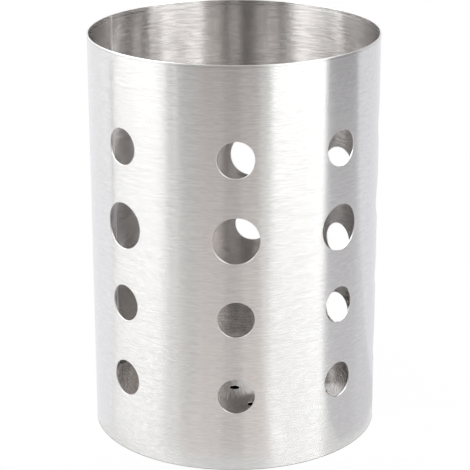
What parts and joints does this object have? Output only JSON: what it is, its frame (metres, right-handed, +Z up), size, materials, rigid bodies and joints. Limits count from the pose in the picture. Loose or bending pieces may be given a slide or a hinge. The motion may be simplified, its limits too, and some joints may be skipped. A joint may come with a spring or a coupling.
{
  "type": "cutlery holder",
  "caption": "Round open-topped cutlery holder in brushed stainless sheet, with columns of round punched holes and a raised drain floor.",
  "frame": {"origin": "middle of the circle on which the tube stands, on the table", "axes": "+Z up along the tube's axis; -Y towards the front column of holes; +X to the right of it"},
  "size_m": [0.12, 0.12, 0.169],
  "materials": {
    "brushed_shell": "brushed around the tube",
    "pressed_floor": "bright rolled sheet"
  },
  "bodies": {
    "root": {"body_shell": "brushed_shell", "base_dish": "pressed_floor"}
  },
  "joints": []
}
